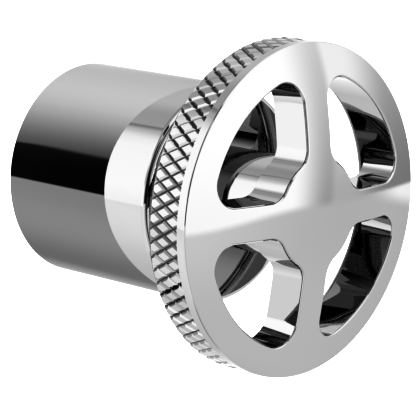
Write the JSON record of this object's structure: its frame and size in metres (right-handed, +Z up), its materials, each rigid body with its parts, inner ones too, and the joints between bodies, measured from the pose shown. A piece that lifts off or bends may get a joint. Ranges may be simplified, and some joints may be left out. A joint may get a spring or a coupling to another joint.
{
  "type": "replacement tap handle",
  "caption": "Chromed tap handle: domed handwheel with windows and a diamond-knurled rim, on a neck in front of a plain round sleeve that goes over the valve's stem.",
  "frame": {"origin": "centre of the stem bore's mouth, on the turning axis", "axes": "+Y along the turning axis, out of the stem bore towards the wall; the wheel's face looks along -Y; +Z is up, along the upper spoke"},
  "size_m": [0.06, 0.0595, 0.06],
  "materials": {
    "chrome": "polished",
    "brass": "machined",
    "steel": "satin"
  },
  "bodies": {
    "root": {"handwheel": "chrome", "sleeve": "chrome", "stem_adapter": "brass", "clamp_screw": "steel", "grub_screw": "steel"}
  },
  "joints": []
}
